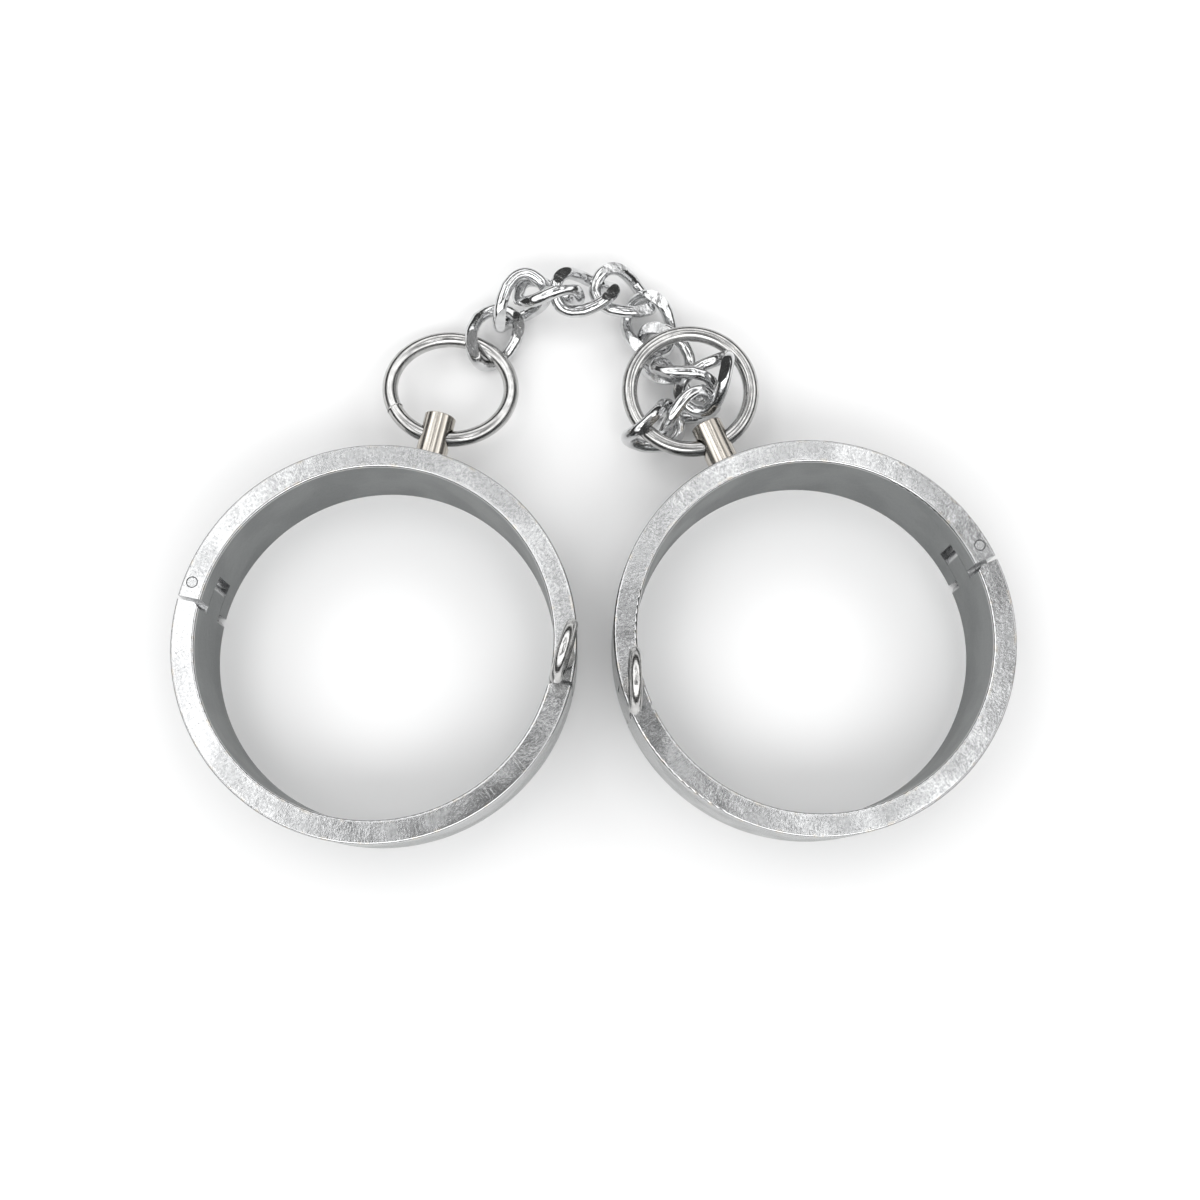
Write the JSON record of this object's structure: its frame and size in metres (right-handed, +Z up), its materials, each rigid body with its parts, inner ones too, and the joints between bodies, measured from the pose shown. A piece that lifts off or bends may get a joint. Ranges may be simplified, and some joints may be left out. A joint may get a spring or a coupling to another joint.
{
  "type": "handcuffs",
  "caption": "Pair of round hinged steel handcuffs with eye-screw locks, joined ring to ring by a short curb chain, lying flat.",
  "frame": {"origin": "middle of the bounding box, on the plane the cuffs lie on", "axes": "+Z up along the cuffs' axes, +X from the left cuff to the right one, +Y towards the chain"},
  "size_m": [0.142, 0.1066, 0.0312],
  "materials": {
    "arm_plate": "satin chrome plating, brushed faces",
    "chain_plate": "bright plating with ground flats",
    "ring_steel": "drawn and polished wire",
    "post_steel": "turned",
    "pin_steel": "ground flush",
    "screw_plate": "polished"
  },
  "bodies": {
    "left_cuff": {"left_upper_arm": "arm_plate", "left_hinge_pin": "pin_steel", "left_ring_post": "post_steel"},
    "left_lower": {"left_lower_arm": "arm_plate"},
    "left_screw": {"left_lock_screw": "screw_plate"},
    "left_big_ring": {"left_ring": "ring_steel"},
    "right_cuff": {"right_upper_arm": "arm_plate", "right_hinge_pin": "pin_steel", "right_ring_post": "post_steel"},
    "right_lower": {"right_lower_arm": "arm_plate"},
    "right_screw": {"right_lock_screw": "screw_plate"},
    "right_big_ring": {"right_ring": "ring_steel"},
    "link_01": {"chain_link_01": "chain_plate"},
    "link_02": {"chain_link_02": "chain_plate"},
    "link_03": {"chain_link_03": "chain_plate"},
    "link_04": {"chain_link_04": "chain_plate"},
    "link_05": {"chain_link_05": "chain_plate"},
    "link_06": {"chain_link_06": "chain_plate"},
    "link_07": {"chain_link_07": "chain_plate"},
    "link_08": {"chain_link_08": "chain_plate"},
    "link_09": {"chain_link_09": "chain_plate"},
    "link_10": {"chain_link_10": "chain_plate"},
    "link_11": {"chain_link_11": "chain_plate"}
  },
  "joints": [
    {"name": "left_cuff_hinge", "type": "hinge", "parent": "left_cuff", "child": "left_lower", "pos_m": [-0.06774, -0.00917, 0.009], "axis": [0, 0, -1], "range_deg": [0, 100]},
    {"name": "left_lock_slide", "type": "slide", "parent": "left_cuff", "child": "left_screw", "axis": [0, 0, 1], "range_m": [-0.0016, 0.0058]},
    {"name": "right_cuff_hinge", "type": "hinge", "parent": "right_cuff", "child": "right_lower", "pos_m": [0.06578, -0.00449, 0.009], "axis": [0, 0, 1], "range_deg": [0, 100]},
    {"name": "right_lock_slide", "type": "slide", "parent": "right_cuff", "child": "right_screw", "axis": [0, 0, 1], "range_m": [-0.0016, 0.0058]},
    {"name": "left_ring_swing", "type": "hinge", "parent": "left_cuff", "child": "left_big_ring", "pos_m": [-0.02794, 0.01897, 0.009], "axis": [0.9728, -0.2317, 0], "range_deg": [-15, 60]},
    {"name": "left_ring_to_link_01", "type": "hinge", "parent": "left_big_ring", "child": "link_01", "pos_m": [-0.01953, 0.0376, 0.0035], "axis": [-0.866, 0.5, 0], "range_deg": [-40, 20]},
    {"name": "link_01_to_link_02", "type": "hinge", "parent": "link_01", "child": "link_02", "pos_m": [-0.01573, 0.04352, 0.00371], "axis": [0, -1, 0], "range_deg": [-40, 12]},
    {"name": "link_02_to_link_03", "type": "hinge", "parent": "link_02", "child": "link_03", "pos_m": [-0.01099, 0.04787, 0.00768], "axis": [-0.866, 0.5, 0], "range_deg": [-20, 20]},
    {"name": "link_03_to_link_04", "type": "hinge", "parent": "link_03", "child": "link_04", "pos_m": [-0.00412, 0.04614, 0.00882], "axis": [0.866, -0.5, 0], "range_deg": [-15, 20]},
    {"name": "link_04_to_link_05", "type": "hinge", "parent": "link_04", "child": "link_05", "pos_m": [0.0028, 0.04867, 0.00625], "axis": [0, -1, 0], "range_deg": [-40, 20]},
    {"name": "link_05_to_link_06", "type": "hinge", "parent": "link_05", "child": "link_06", "pos_m": [0.01005, 0.04607, 0.00397], "axis": [0, 0, 1], "range_deg": [-4, 40]},
    {"name": "link_06_to_link_07", "type": "hinge", "parent": "link_06", "child": "link_07", "pos_m": [0.01147, 0.03831, 0.00371], "axis": [0.866, 0.5, 0], "range_deg": [-24, 14]},
    {"name": "link_07_to_link_08", "type": "hinge", "parent": "link_07", "child": "link_08", "pos_m": [0.01477, 0.03247, 0.00611], "axis": [-1, 0, 0], "range_deg": [-15, 4]},
    {"name": "link_08_to_link_09", "type": "hinge", "parent": "link_08", "child": "link_09", "pos_m": [0.02059, 0.02817, 0.007], "axis": [0.5, -0.866, 0], "range_deg": [0, 21]},
    {"name": "link_09_to_link_10", "type": "hinge", "parent": "link_09", "child": "link_10", "pos_m": [0.01937, 0.02546, 0.0085], "axis": [-0.433, -0.75, 0.5], "range_deg": [-10, 2]},
    {"name": "link_10_to_link_11", "type": "hinge", "parent": "link_10", "child": "link_11", "pos_m": [0.01417, 0.02221, 0.00509], "axis": [0, 0, -1], "range_deg": [-8, 5]},
    {"name": "link_11_to_right_ring", "type": "hinge", "parent": "link_11", "child": "right_big_ring", "pos_m": [0.00911, 0.01963, 0.00903], "axis": [0.5, 0.866, 0], "range_deg": [-8, 20]},
    {"name": "right_ring_swing", "type": "hinge", "parent": "right_big_ring", "child": "right_cuff", "pos_m": [0.02207, 0.01708, 0.009], "axis": [0.9245, 0.3811, 0], "range_deg": [-20, 30]}
  ]
}
